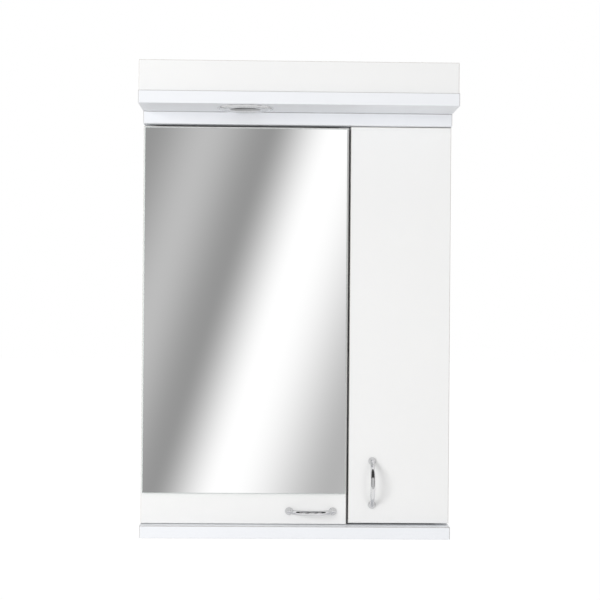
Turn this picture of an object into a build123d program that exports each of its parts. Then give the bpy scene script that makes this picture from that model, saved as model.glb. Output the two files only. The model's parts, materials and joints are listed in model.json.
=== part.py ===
from build123d import *
import math
import os

os.makedirs("parts", exist_ok=True)

# Frame: X to the viewer's right, Y into the wall, Z up, millimetres.
# The origin is on the wall plane, midway between the two hanging holes.

# Boards
cabinet_width = 450.0
board = 18.0
inner_height = 583.0
hang_height = 560.0
carcass_depth = 120.0
door_gap = 3.0
edge_round = 1.2
partition_right = 78.0
bottom_lip = 20.3
top_lip = 10.8
canopy_overhang = 99.3
fascia_height = 44.0
fascia_setback = 8.5

# Back and hanging rail
hanging_pitch = 300.0
hanging_hole_radius = 3.0
rail_height = 70.0
back_thickness = 3.0
groove_depth = 6.0
groove_play = 0.1
back_play = 0.5

# Doors and mirror
left_door_bottom = 18.7
left_door_top = 598.3
right_door_bottom = 20.7
right_door_top = 600.3
door_split = 76.5
split_gap = 3.0
mirror_thickness = 4.0
tape_thickness = 1.0
mirror_border = 2.3
mirror_bottom = 63.6
mirror_top = 596.1
mirror_chamfer = 0.6

# Bow handles
handle_pitch = 64.0
handle_projection = 25.0
bow_thickness = 4.2
bow_width_middle = 6.6
bow_width_end = 5.2
foot_radius = 5.8
foot_height = 6.0
foot_neck_radius = 3.4
foot_rim = 0.8
foot_flare_radius = 9.0
left_handle_x = 23.4
left_handle_height = 37.6
right_handle_x = 112.6
right_handle_height = 79.5
handle_screw_radius = 2.0

# Cup hinges: the pivot stands inside the cup, in from the door's outer edge and its back
pivot_from_edge = 7.3
pivot_from_back = 9.5
pivot_radius = 1.25
pivot_clearance = 0.05
eye_radius = 2.4
cup_from_edge = 20.5
cup_radius = 17.5
cup_depth = 13.0
cup_wall = 0.7
arm_thickness = 2.4
arm_half_width = 3.0
arm_tail_half_width = 6.0
hinge_heights = (100.0, 510.0)
plate_thickness = 2.0
plate_setback = 37.0

# Shelves
shelf_thickness = 16.0
shelf_tops = (168.0, 308.0, 448.0)
shelf_front_setback = 8.0
pin_radius = 2.5
pin_depth = 8.0
pin_row_step = 32.0
pin_rows = (-95.0, -40.0)

# Spotlight, measured from the board's underside
spot_x = -76.0
spot_from_door = 53.0
spot_hole_radius = 33.0
ring_radius = 40.0
aperture_radius = 22.0
lamp_radius = 25.0
lamp_height = 43.5

# Levels and planes that follow from the driving dimensions
half_width = cabinet_width / 2
inner_half = half_width - board
underside_z = -hang_height
floor_z = underside_z + board
ceiling_z = floor_z + inner_height
canopy_z = ceiling_z + board
canopy_top_z = canopy_z + board
fascia_top_z = canopy_top_z + fascia_height
carcass_front = -carcass_depth
door_back = carcass_front - door_gap
door_front = door_back - board
back_face = -board - back_thickness
partition_left = partition_right - board
canopy_front = door_front - canopy_overhang
fascia_front = canopy_front + fascia_setback
left_door_inner = door_split - split_gap / 2
right_door_inner = door_split + split_gap / 2
pivot_x = -half_width + pivot_from_edge
pivot_y = door_back - pivot_from_back
cup_x = -half_width + cup_from_edge
arm_outer_x = -inner_half + plate_thickness
arm_inner_x = arm_outer_x + arm_thickness
hinge_levels = [underside_z + h for h in hinge_heights]
bay_edges = {
    "left": (-inner_half, partition_left),
    "right": (partition_right, inner_half),
}


def span_box(x, y, z, mode=Mode.ADD):
    """A box between two values on each axis, added to the part being built."""
    centre = ((x[0] + x[1]) / 2, (y[0] + y[1]) / 2, (z[0] + z[1]) / 2)
    with Locations(centre):
        Box(x[1] - x[0], y[1] - y[0], z[1] - z[0], mode=mode)


def upright_rod(x, y, z, radius, mode=Mode.ADD):
    """A round rod along Z."""
    with Locations((x, y, (z[0] + z[1]) / 2)):
        Cylinder(radius, z[1] - z[0], mode=mode)


def cross_rod(x, y, z, radius, mode=Mode.ADD):
    """A round rod along X."""
    with Locations(((x[0] + x[1]) / 2, y, z)):
        Cylinder(radius, x[1] - x[0], rotation=(0, 90, 0), mode=mode)


def depth_rod(x, y, z, radius, mode=Mode.ADD):
    """A round rod along Y."""
    with Locations((x, (y[0] + y[1]) / 2, z)):
        Cylinder(radius, y[1] - y[0], rotation=(90, 0, 0), mode=mode)


def save(builder, name):
    """Label a finished piece and write its file."""
    builder.part.label = name
    export_step(builder.part, f"parts/{name}.step")


# Screws and dowels that hold the boards together
screw_shank = 2.4
screw_head_radius = 5.0
screw_head_height = 3.5
screw_length = 45.0
cap_height = 1.0
dowel_radius = 4.0
dowel_y = -62.0
screw_rows = (-92.0, -34.0)
upright_centres = (
    -half_width + board / 2,
    partition_right - board / 2,
    half_width - board / 2,
)
bottom_head_z = underside_z + cap_height
screw_spots = [(x, y) for x in upright_centres for y in screw_rows]
dowel_in_board = 12.0
dowel_in_upright = 15.0
bottom_dowel = (floor_z - dowel_in_board, floor_z + dowel_in_upright)
top_dowel = (ceiling_z - dowel_in_upright, ceiling_z + dowel_in_board)
bottom_shank = (bottom_head_z + screw_head_height, bottom_head_z + screw_length)
top_shank = (canopy_z - screw_length, canopy_z - screw_head_height)


def drill_upright_ends(centre_x):
    """Screw and dowel holes in both ends of a side panel or the partition."""
    for y in screw_rows:
        upright_rod(centre_x, y, bottom_shank, screw_shank, Mode.SUBTRACT)
        upright_rod(centre_x, y, top_shank, screw_shank, Mode.SUBTRACT)
    upright_rod(centre_x, dowel_y, bottom_dowel, dowel_radius, Mode.SUBTRACT)
    upright_rod(centre_x, dowel_y, top_dowel, dowel_radius, Mode.SUBTRACT)


def shelf_pin_holes(face_x, inward):
    """Three holes around each shelf height, in two rows, on one face of an upright."""
    x = sorted((face_x, face_x + inward * pin_depth))
    for top in shelf_tops:
        level = underside_z + top - shelf_thickness - pin_radius
        for step in (-pin_row_step, 0, pin_row_step):
            for y in pin_rows:
                cross_rod(x, y, level + step, pin_radius, Mode.SUBTRACT)


# Hinge plate: a small cross of steel on the side panel's inner face
plate_y = carcass_front + plate_setback
plate_wing_half = 26.0
plate_wing_width = 16.0
plate_body_half = 7.0
plate_body = (-110.0, -64.0)
plate_screw_offset = 16.0
plate_corner = 5.0
small_screw_radius = 1.75
small_head_radius = 3.4
small_head_height = 2.0
plate_screw_depth = 13.0
arm_screw_y = -70.0
arm_screw_radius = 2.0
arm_screw_head = 3.5
arm_screw_tip = -inner_half - 5.0


def hinge_screw_holes():
    """Pilot holes for the plate and arm screws, in the left side panel's face."""
    for level in hinge_levels:
        for offset in (-plate_screw_offset, plate_screw_offset):
            x = (arm_outer_x - plate_screw_depth, -inner_half)
            cross_rod(x, plate_y, level + offset, small_screw_radius, Mode.SUBTRACT)
        cross_rod((arm_screw_tip, -inner_half), arm_screw_y, level, arm_screw_radius, Mode.SUBTRACT)


groove_y = (back_face - groove_play, -board + groove_play)

# Side panel, drawn on the left
with BuildPart() as side_panel:
    span_box((-half_width, -inner_half), (carcass_front, 0), (floor_z, ceiling_z))
    front_edges = side_panel.edges().filter_by(Axis.Z).group_by(Axis.Y)[0]
    fillet(front_edges, edge_round)
    span_box((-inner_half - groove_depth, -inner_half), groove_y, (floor_z, ceiling_z), Mode.SUBTRACT)
    shelf_pin_holes(-inner_half, -1)
    drill_upright_ends(-half_width + board / 2)
    hinge_screw_holes()

with BuildPart() as side_panel_left:
    add(side_panel.part)
save(side_panel_left, "side_panel_left")

with BuildPart() as side_panel_right:
    add(mirror(side_panel.part, about=Plane.YZ, mode=Mode.PRIVATE))
save(side_panel_right, "side_panel_right")

buffer_radius = 4.0
buffer_height = 2.8
buffer_x = 67.0
buffer_heights = (45.0, 570.0)
buffer_round = 0.8

with BuildPart() as partition_panel:
    span_box((partition_left, partition_right), (carcass_front, back_face), (floor_z, ceiling_z))
    fillet(partition_panel.edges().filter_by(Axis.Z).group_by(Axis.Y)[0], edge_round)
    shelf_pin_holes(partition_left, 1)
    shelf_pin_holes(partition_right, -1)
    drill_upright_ends(partition_right - board / 2)
save(partition_panel, "partition_panel")

# Screws that join the rail and the canopy to the top panel
rail_screw_xs = (-90.0, 40.0, 120.0)
rail_screw_length = 45.0
canopy_screw_xs = (-170.0, 170.0)
canopy_screw_ys = (-100.0, -34.0)
canopy_screw_spots = [(x, y) for x in canopy_screw_xs for y in canopy_screw_ys]
canopy_screw_length = 30.0
rail_centre_y = -board / 2

with BuildPart() as top_panel:
    top_front = door_front - top_lip
    span_box((-half_width, half_width), (top_front, 0), (ceiling_z, canopy_z))
    fillet(top_panel.faces().sort_by(Axis.Y)[0].edges(), edge_round)
    groove_x = (-inner_half - groove_depth, inner_half + groove_depth)
    span_box(groove_x, groove_y, (ceiling_z, ceiling_z + groove_depth), Mode.SUBTRACT)
    for x, y in screw_spots:
        upright_rod(x, y, (ceiling_z, canopy_z), screw_shank, Mode.SUBTRACT)
        upright_rod(x, y, (canopy_z - screw_head_height, canopy_z), screw_head_radius, Mode.SUBTRACT)
    for x in upright_centres:
        upright_rod(x, dowel_y, (ceiling_z, top_dowel[1]), dowel_radius, Mode.SUBTRACT)
    for x in rail_screw_xs:
        upright_rod(x, rail_centre_y, (ceiling_z, canopy_z), arm_screw_radius, Mode.SUBTRACT)
        sink = (canopy_z - small_head_height, canopy_z)
        upright_rod(x, rail_centre_y, sink, small_head_radius, Mode.SUBTRACT)
    for x, y in canopy_screw_spots:
        upright_rod(x, y, (ceiling_z, canopy_z), small_screw_radius, Mode.SUBTRACT)
        sink = (ceiling_z, ceiling_z + small_head_height)
        upright_rod(x, y, sink, small_head_radius, Mode.SUBTRACT)
save(top_panel, "top_panel")

with BuildPart() as bottom_panel:
    bottom_front = door_front - bottom_lip
    span_box((-half_width, half_width), (bottom_front, 0), (underside_z, floor_z))
    fillet(bottom_panel.faces().sort_by(Axis.Y)[0].edges(), edge_round)
    span_box(groove_x, groove_y, (floor_z - groove_depth, floor_z), Mode.SUBTRACT)
    for x, y in screw_spots:
        upright_rod(x, y, (underside_z, floor_z), screw_shank, Mode.SUBTRACT)
        upright_rod(x, y, (underside_z, bottom_shank[0]), screw_head_radius, Mode.SUBTRACT)
    for x in upright_centres:
        upright_rod(x, dowel_y, (bottom_dowel[0], floor_z), dowel_radius, Mode.SUBTRACT)
save(bottom_panel, "bottom_panel")

with BuildPart() as back_panel:
    reach = inner_half + groove_depth - back_play
    span_box(
        (-reach, reach),
        (back_face, -board),
        (floor_z - groove_depth + back_play, ceiling_z + groove_depth - back_play),
    )
    for x in (-hanging_pitch / 2, hanging_pitch / 2):
        depth_rod(x, (back_face, -board), 0, hanging_hole_radius, Mode.SUBTRACT)
save(back_panel, "back_panel")

with BuildPart() as hanging_rail:
    span_box((-inner_half, inner_half), (-board, 0), (ceiling_z - rail_height, ceiling_z))
    for x in (-hanging_pitch / 2, hanging_pitch / 2):
        depth_rod(x, (-board, 0), 0, hanging_hole_radius, Mode.SUBTRACT)
    for x in rail_screw_xs:
        pilot = (canopy_z - rail_screw_length, ceiling_z)
        upright_rod(x, rail_centre_y, pilot, arm_screw_radius, Mode.SUBTRACT)
save(hanging_rail, "hanging_rail")

# Canopy: a board over the doors with the spotlight in it, and a low upright frame on top
spot_y = door_front - spot_from_door
fascia_back = fascia_front + board
canopy_dowel_radius = 3.0
dowel_below = 10.0
dowel_above = 14.0
canopy_dowel = (canopy_top_z - dowel_below, canopy_top_z + dowel_above)
fascia_dowel_xs = (-180.0, -20.0, 80.0, 180.0)
fascia_dowel_y = (fascia_front + fascia_back) / 2
return_x = half_width - board / 2
fascia_dowels = [(x, fascia_dowel_y) for x in fascia_dowel_xs]
return_dowel_ys = (-180.0, -110.0, -40.0)
return_dowels = [(side * return_x, y) for side in (-1, 1) for y in return_dowel_ys]
corner_dowel_z = canopy_top_z + fascia_height - board
corner_dowel = (fascia_back - dowel_below, fascia_back + dowel_above)

with BuildPart() as canopy_board:
    span_box((-half_width, half_width), (canopy_front, 0), (canopy_z, canopy_top_z))
    fillet(canopy_board.faces().sort_by(Axis.Y)[0].edges(), edge_round)
    upright_rod(spot_x, spot_y, (canopy_z, canopy_top_z), spot_hole_radius, Mode.SUBTRACT)
    for x, y in fascia_dowels + return_dowels:
        upright_rod(x, y, (canopy_dowel[0], canopy_top_z), canopy_dowel_radius, Mode.SUBTRACT)
    for x, y in canopy_screw_spots:
        pilot = (canopy_z, ceiling_z + canopy_screw_length)
        upright_rod(x, y, pilot, small_screw_radius, Mode.SUBTRACT)
save(canopy_board, "canopy_board")

with BuildPart() as canopy_fascia:
    span_box((-half_width, half_width), (fascia_front, fascia_back), (canopy_top_z, fascia_top_z))
    fillet(canopy_fascia.faces().sort_by(Axis.Y)[0].edges(), edge_round)
    for x, y in fascia_dowels:
        upright_rod(x, y, (canopy_top_z, canopy_dowel[1]), canopy_dowel_radius, Mode.SUBTRACT)
    for side in (-1, 1):
        socket = (corner_dowel[0], fascia_back)
        depth_rod(side * return_x, socket, corner_dowel_z, canopy_dowel_radius, Mode.SUBTRACT)
save(canopy_fascia, "canopy_fascia")

with BuildPart() as canopy_return:
    span_box((-half_width, -inner_half), (fascia_back, 0), (canopy_top_z, fascia_top_z))
    fillet(canopy_return.edges().filter_by(Axis.Y).group_by(Axis.Z)[-1], edge_round)
    for x, y in return_dowels:
        if x < 0:
            upright_rod(x, y, (canopy_top_z, canopy_dowel[1]), canopy_dowel_radius, Mode.SUBTRACT)
    socket = (fascia_back, corner_dowel[1])
    depth_rod(-return_x, socket, corner_dowel_z, canopy_dowel_radius, Mode.SUBTRACT)

with BuildPart() as canopy_return_left:
    add(canopy_return.part)
save(canopy_return_left, "canopy_return_left")

with BuildPart() as canopy_return_right:
    add(mirror(canopy_return.part, about=Plane.YZ, mode=Mode.PRIVATE))
save(canopy_return_right, "canopy_return_right")

# Fasteners of the boards
with BuildPart() as panel_screws_bottom:
    for x, y in screw_spots:
        upright_rod(x, y, (bottom_head_z, bottom_shank[0]), screw_head_radius)
        upright_rod(x, y, bottom_shank, screw_shank)
save(panel_screws_bottom, "panel_screws_bottom")

with BuildPart() as panel_screws_top:
    for x, y in screw_spots:
        upright_rod(x, y, (top_shank[1], canopy_z), screw_head_radius)
        upright_rod(x, y, top_shank, screw_shank)
save(panel_screws_top, "panel_screws_top")

with BuildPart() as screw_caps:
    for x, y in screw_spots:
        upright_rod(x, y, (underside_z, bottom_head_z), screw_head_radius)
save(screw_caps, "screw_caps")

with BuildPart() as panel_dowels:
    for x in upright_centres:
        upright_rod(x, dowel_y, bottom_dowel, dowel_radius)
        upright_rod(x, dowel_y, top_dowel, dowel_radius)
save(panel_dowels, "panel_dowels")

with BuildPart() as rail_screws:
    for x in rail_screw_xs:
        shank = (canopy_z - rail_screw_length, canopy_z - small_head_height)
        upright_rod(x, rail_centre_y, shank, arm_screw_radius)
        upright_rod(x, rail_centre_y, (shank[1], canopy_z), small_head_radius)
save(rail_screws, "rail_screws")

with BuildPart() as canopy_screws:
    for x, y in canopy_screw_spots:
        shank = (ceiling_z + small_head_height, ceiling_z + canopy_screw_length)
        upright_rod(x, y, shank, small_screw_radius)
        upright_rod(x, y, (ceiling_z, shank[0]), small_head_radius)
save(canopy_screws, "canopy_screws")

with BuildPart() as canopy_dowels:
    for x, y in fascia_dowels + return_dowels:
        upright_rod(x, y, canopy_dowel, canopy_dowel_radius)
    for side in (-1, 1):
        depth_rod(side * return_x, corner_dowel, corner_dowel_z, canopy_dowel_radius)
save(canopy_dowels, "canopy_dowels")

# Shelves on pins, three in each bay
shelf_play = 1.0
shelf_front = carcass_front + shelf_front_setback
collar_radius = 3.4
collar_width = 0.8

for bay, (bay_left, bay_right) in bay_edges.items():
    for number, top in enumerate(shelf_tops, 1):
        with BuildPart() as shelf:
            span_box(
                (bay_left + shelf_play, bay_right - shelf_play),
                (shelf_front, back_face - shelf_play),
                (underside_z + top - shelf_thickness, underside_z + top),
            )
            fillet(shelf.faces().sort_by(Axis.Y)[0].edges(), edge_round)
        save(shelf, f"shelf_{bay}_{number}")

    with BuildPart() as shelf_pins:
        for top in shelf_tops:
            level = underside_z + top - shelf_thickness - pin_radius
            for face_x, inward in ((bay_left, 1), (bay_right, -1)):
                inside = sorted((face_x - inward * pin_depth, face_x + inward * pin_depth))
                collar = sorted((face_x, face_x + inward * collar_width))
                for y in pin_rows:
                    cross_rod(inside, y, level, pin_radius)
                    cross_rod(collar, y, level, collar_radius)
    save(shelf_pins, f"shelf_pins_{bay}")

with BuildPart() as door_buffers:
    for height in buffer_heights:
        depth_rod(
            buffer_x,
            (carcass_front - buffer_height, carcass_front),
            underside_z + height,
            buffer_radius,
        )
    fillet(door_buffers.faces().filter_by(Axis.Y).group_by(Axis.Y)[0].edges(), buffer_round)
save(door_buffers, "door_buffers")

# Hinges, drawn on the left at level zero; the right set is the mirror image
flange_thickness = 1.0
flange_radius = 19.0
flange_wing = (-200.0, -190.0)
flange_wing_half = 29.0
wing_corner = 4.0
cup_screw_x = -195.0
cup_screw_offset = 24.0
cup_screw_depth = 10.0
cup_head_height = 1.2
cheek_inner = 3.3
cheek_outer = 4.8
cheek_x = (-220.1, -215.0)
cheek_back = -130.2
hole_play = 0.1

cup_bottom = door_back - cup_depth
flange_back = door_back + flange_thickness

with BuildPart() as hinge_cup:
    span_box(flange_wing, (door_back, flange_back), (-flange_wing_half, flange_wing_half))
    fillet(hinge_cup.edges().filter_by(Axis.Y), wing_corner)
    depth_rod(cup_x, (cup_bottom, door_back), 0, cup_radius)
    depth_rod(cup_x, (door_back, flange_back), 0, flange_radius)
    cavity = (cup_bottom + cup_wall, flange_back)
    depth_rod(cup_x, cavity, 0, cup_radius - cup_wall, Mode.SUBTRACT)
    for side in (-1, 1):
        cheek = sorted((side * cheek_inner, side * cheek_outer))
        span_box(cheek_x, (cup_bottom + cup_wall, cheek_back), cheek)
    upright_rod(pivot_x, pivot_y, (-cheek_outer, cheek_outer), pivot_radius, Mode.SUBTRACT)
    for side in (-1, 1):
        screw_z = side * cup_screw_offset
        depth_rod(cup_screw_x, (door_back, flange_back), screw_z, small_screw_radius, Mode.SUBTRACT)

with BuildPart() as hinge_pin:
    upright_rod(pivot_x, pivot_y, (-cheek_outer, cheek_outer), pivot_radius)

with BuildPart() as cup_screw_pair:
    for side in (-1, 1):
        screw_z = side * cup_screw_offset
        shank = (door_back - cup_screw_depth, flange_back)
        depth_rod(cup_screw_x, shank, screw_z, small_screw_radius)
        head = (flange_back, flange_back + cup_head_height)
        depth_rod(cup_screw_x, head, screw_z, small_head_radius)

# The arm is a bent strip: an eye on the pivot, a leg across the cup, and a tail on the plate
leg_front = pivot_y - arm_thickness / 2
leg_back = pivot_y + arm_thickness / 2
tail_start = -112.0
tail_end = -64.0
bend_radius = 1.2
tail_corner = 3.0

with BuildPart() as hinge_arm:
    span_box((pivot_x, arm_inner_x), (leg_front, leg_back), (-arm_half_width, arm_half_width))
    span_box((arm_outer_x, arm_inner_x), (leg_front, tail_start), (-arm_half_width, arm_half_width))
    outer_bend = hinge_arm.edges().filter_by(Axis.Z).sort_by_distance((arm_inner_x, leg_front, 0))[0]
    fillet(outer_bend, bend_radius)
    upright_rod(pivot_x, pivot_y, (-arm_half_width, arm_half_width), eye_radius)
    tail_z = (-arm_tail_half_width, arm_tail_half_width)
    span_box((arm_outer_x, arm_inner_x), (tail_start, tail_end), tail_z)
    tail_corners = hinge_arm.edges().filter_by(Axis.X).group_by(Axis.Y)[-1]
    fillet(tail_corners, tail_corner)
    eye_hole = pivot_radius + pivot_clearance
    arm_z = (-arm_half_width, arm_half_width)
    upright_rod(pivot_x, pivot_y, arm_z, eye_hole, Mode.SUBTRACT)
    cross_rod((arm_outer_x, arm_inner_x), arm_screw_y, 0, arm_screw_radius, Mode.SUBTRACT)

with BuildPart() as hinge_plate:
    plate_x = (-inner_half, arm_outer_x)
    wing_y = (plate_y - plate_wing_width / 2, plate_y + plate_wing_width / 2)
    span_box(plate_x, wing_y, (-plate_wing_half, plate_wing_half))
    fillet(hinge_plate.edges().filter_by(Axis.X), plate_corner)
    span_box(plate_x, plate_body, (-plate_body_half, plate_body_half))
    for side in (-1, 1):
        cross_rod(plate_x, plate_y, side * plate_screw_offset, small_screw_radius, Mode.SUBTRACT)
    cross_rod(plate_x, arm_screw_y, 0, arm_screw_radius, Mode.SUBTRACT)

with BuildPart() as plate_screw_pair:
    for side in (-1, 1):
        screw_z = side * plate_screw_offset
        shank = (arm_outer_x - plate_screw_depth, arm_outer_x)
        cross_rod(shank, plate_y, screw_z, small_screw_radius)
        head = (arm_outer_x, arm_outer_x + small_head_height)
        cross_rod(head, plate_y, screw_z, small_head_radius)

with BuildPart() as arm_screw:
    cross_rod((arm_screw_tip, arm_inner_x), arm_screw_y, 0, arm_screw_radius)
    cross_rod((arm_inner_x, arm_inner_x + small_head_height), arm_screw_y, 0, arm_screw_head)

hinge_pieces = {
    "hinge_cups": hinge_cup,
    "hinge_pins": hinge_pin,
    "hinge_cup_screws": cup_screw_pair,
    "hinge_arms": hinge_arm,
    "hinge_plates": hinge_plate,
    "hinge_plate_screws": plate_screw_pair,
    "hinge_arm_screws": arm_screw,
}
hinge_spots = [(0, 0, level) for level in hinge_levels]

for name, piece in hinge_pieces.items():
    with BuildPart() as left_set:
        with Locations(*hinge_spots):
            add(piece.part)
    save(left_set, f"{name}_left")
    with BuildPart() as right_set:
        add(mirror(left_set.part, about=Plane.YZ, mode=Mode.PRIVATE))
    save(right_set, f"{name}_right")

# Doors
handle_half = handle_pitch / 2
left_handle_z = underside_z + left_handle_height
right_handle_z = underside_z + right_handle_height
left_handle_feet = [(left_handle_x + s * handle_half, left_handle_z) for s in (-1, 1)]
right_handle_feet = [(right_handle_x, right_handle_z + s * handle_half) for s in (-1, 1)]
handle_hole_play = 0.25
handle_head_radius = 4.0
handle_head_height = 2.4
screw_in_foot = 5.0


def drill_door(side, feet):
    """Cup seats, their screw holes and the handle holes, from the door's back."""
    seat = (cup_bottom - hole_play, door_back)
    for level in hinge_levels:
        depth_rod(side * -cup_x, seat, level, cup_radius + hole_play, Mode.SUBTRACT)
        for offset in (-cup_screw_offset, cup_screw_offset):
            pilot = (door_back - cup_screw_depth, door_back)
            depth_rod(side * -cup_screw_x, pilot, level + offset, small_screw_radius, Mode.SUBTRACT)
    for x, z in feet:
        hole = handle_screw_radius + handle_hole_play
        depth_rod(x, (door_front, door_back), z, hole, Mode.SUBTRACT)


with BuildPart() as left_door_panel:
    left_levels = (underside_z + left_door_bottom, underside_z + left_door_top)
    span_box((-half_width, left_door_inner), (door_front, door_back), left_levels)
    fillet(left_door_panel.faces().sort_by(Axis.Y)[0].edges(), edge_round)
    drill_door(-1, left_handle_feet)
save(left_door_panel, "left_door_panel")

with BuildPart() as right_door_panel:
    right_levels = (underside_z + right_door_bottom, underside_z + right_door_top)
    span_box((right_door_inner, half_width), (door_front, door_back), right_levels)
    fillet(right_door_panel.faces().sort_by(Axis.Y)[0].edges(), edge_round)
    drill_door(1, right_handle_feet)
save(right_door_panel, "right_door_panel")

mirror_x = (-half_width + mirror_border, left_door_inner - mirror_border)
mirror_z = (underside_z + mirror_bottom, underside_z + mirror_top)
mirror_back = door_front - tape_thickness
tape_width = 20.0
tape_end = 30.0
tape_strips = 4

with BuildPart() as mirror_glass:
    span_box(mirror_x, (mirror_back - mirror_thickness, mirror_back), mirror_z)
    chamfer(mirror_glass.faces().sort_by(Axis.Y)[0].edges(), mirror_chamfer)
save(mirror_glass, "mirror_glass")

with BuildPart() as mirror_tape:
    strip_step = (mirror_x[1] - mirror_x[0]) / tape_strips
    for strip in range(tape_strips):
        centre_x = mirror_x[0] + strip_step * strip + strip_step / 2
        span_box(
            (centre_x - tape_width / 2, centre_x + tape_width / 2),
            (mirror_back, door_front),
            (mirror_z[0] + tape_end, mirror_z[1] - tape_end),
        )
save(mirror_tape, "mirror_tape")


# Handles: an arched bar of changing width on two flared feet
bow_sections = 8
bow_rise = handle_projection - bow_thickness / 2
bow_radius = (handle_half**2 + bow_rise**2) / (2 * bow_rise)
bow_half_angle = math.asin(handle_half / bow_radius)


def bow_handle(seat):
    """A bow on a door face: the seat plane's X runs along the bow and its Z points off the door."""
    along, across, off = seat.x_dir, seat.y_dir, seat.z_dir
    with BuildPart() as handle:
        for step in range(bow_sections + 1):
            angle = bow_half_angle * (2 * step / bow_sections - 1)
            middle = math.sin(math.pi * step / bow_sections)
            half_across = (bow_width_end + (bow_width_middle - bow_width_end) * middle) / 2
            rise = bow_radius * math.cos(angle) - bow_radius + bow_rise
            point = seat.origin + along * (bow_radius * math.sin(angle)) + off * rise
            heading = along * math.cos(angle) - off * math.sin(angle)
            with BuildSketch(Plane(point, x_dir=across, z_dir=heading)):
                Ellipse(half_across, bow_thickness / 2)
        loft()
        for side in (-1, 1):
            foot = seat.origin + along * (side * handle_half)
            with BuildSketch(Plane(foot, x_dir=along, z_dir=-across)):
                with BuildLine():
                    base = Line((0, 0), (foot_radius, 0))
                    rim = Line(base @ 1, (foot_radius, foot_rim))
                    flare = RadiusArc(rim @ 1, (foot_neck_radius, foot_height), foot_flare_radius)
                    Line(flare @ 1, (0, foot_height))
                    Line((0, foot_height), (0, 0))
                make_face()
            revolve(axis=Axis(foot, off))
        flush = Plane(seat.origin, x_dir=along, z_dir=off)
        split(bisect_by=flush, keep=Keep.TOP)
        for side in (-1, 1):
            foot = seat.origin + along * (side * handle_half)
            with Locations(Plane(foot, x_dir=along, z_dir=off)):
                Cylinder(
                    handle_screw_radius,
                    screw_in_foot,
                    align=(Align.CENTER, Align.CENTER, Align.MIN),
                    mode=Mode.SUBTRACT,
                )
    return handle


left_seat = Plane((left_handle_x, door_front, left_handle_z), x_dir=(1, 0, 0), z_dir=(0, -1, 0))
right_seat = Plane((right_handle_x, door_front, right_handle_z), x_dir=(0, 0, 1), z_dir=(0, -1, 0))
save(bow_handle(left_seat), "left_handle")
save(bow_handle(right_seat), "right_handle")

for name, feet in (("left", left_handle_feet), ("right", right_handle_feet)):
    with BuildPart() as handle_screws:
        for x, z in feet:
            shank = (door_front - screw_in_foot, door_back)
            depth_rod(x, shank, z, handle_screw_radius)
            depth_rod(x, (door_back, door_back + handle_head_height), z, handle_head_radius)
    save(handle_screws, f"{name}_handle_screws")

# Spotlight: a ring from below, held by two sprung clips, with a reflector lamp resting in it
ring_flange = 2.5
ring_edge = 1.0
ring_inner_slope = 3.0
ring_outer_slope = 2.0
tube_radius = 30.0
tube_wall = 1.5
tube_height = 15.0
lip_height = 1.5
lamp_seat_z = canopy_z + lip_height
lamp_top_z = lamp_seat_z + lamp_height
spot_axis = Axis((spot_x, spot_y, 0), (0, 0, 1))
spot_plane = Plane((spot_x, spot_y, 0), x_dir=(1, 0, 0), z_dir=(0, -1, 0))

with BuildPart() as spotlight_ring:
    with BuildSketch(spot_plane):
        with BuildLine():
            Polyline(
                (aperture_radius, lamp_seat_z),
                (aperture_radius, canopy_z - ring_flange + ring_edge),
                (aperture_radius + ring_inner_slope, canopy_z - ring_flange),
                (ring_radius - ring_outer_slope, canopy_z - ring_flange),
                (ring_radius, canopy_z - ring_edge),
                (ring_radius, canopy_z),
                (tube_radius, canopy_z),
                (tube_radius, canopy_z + tube_height),
                (tube_radius - tube_wall, canopy_z + tube_height),
                (tube_radius - tube_wall, lamp_seat_z),
                close=True,
            )
        make_face()
    revolve(axis=spot_axis)
save(spotlight_ring, "spotlight_ring")

clip_thickness = 0.8
clip_half_width = 5.0
clip_reach = 48.0
clip_foot_z = canopy_z + ring_flange

with BuildPart() as ring_clips:
    for side in (-1, 1):
        stem = sorted((side * tube_radius, side * (tube_radius + clip_thickness)))
        arm = sorted((side * tube_radius, side * clip_reach))
        across = (spot_y - clip_half_width, spot_y + clip_half_width)
        stem_z = (clip_foot_z, canopy_top_z + clip_thickness)
        span_box((spot_x + stem[0], spot_x + stem[1]), across, stem_z)
        arm_z = (canopy_top_z, canopy_top_z + clip_thickness)
        span_box((spot_x + arm[0], spot_x + arm[1]), across, arm_z)
save(ring_clips, "ring_clips")

lamp_pin_radius = 0.8
lamp_pin_offset = 2.7
lamp_pin_length = 6.0
lamp_neck_radius = 8.5
lamp_neck_height = 9.0
lamp_rim_height = 4.0
lamp_bowl_radius = 42.0

with BuildPart() as reflector_lamp:
    with BuildSketch(spot_plane):
        with BuildLine():
            floor_line = Line((0, lamp_seat_z), (lamp_radius, lamp_seat_z))
            rim_line = Line(floor_line @ 1, (lamp_radius, lamp_seat_z + lamp_rim_height))
            neck_z = lamp_top_z - lamp_neck_height
            bowl = RadiusArc(rim_line @ 1, (lamp_neck_radius, neck_z), lamp_bowl_radius)
            neck = Line(bowl @ 1, (lamp_neck_radius, lamp_top_z))
            Line(neck @ 1, (0, lamp_top_z))
            Line((0, lamp_top_z), (0, lamp_seat_z))
        make_face()
    revolve(axis=spot_axis)
    for side in (-1, 1):
        pin_z = (lamp_top_z, lamp_top_z + lamp_pin_length)
        upright_rod(spot_x + side * lamp_pin_offset, spot_y, pin_z, lamp_pin_radius)
save(reflector_lamp, "reflector_lamp")

holder_half = (9.0, 6.5)
holder_height = 11.0
holder_round = 2.0

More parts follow.
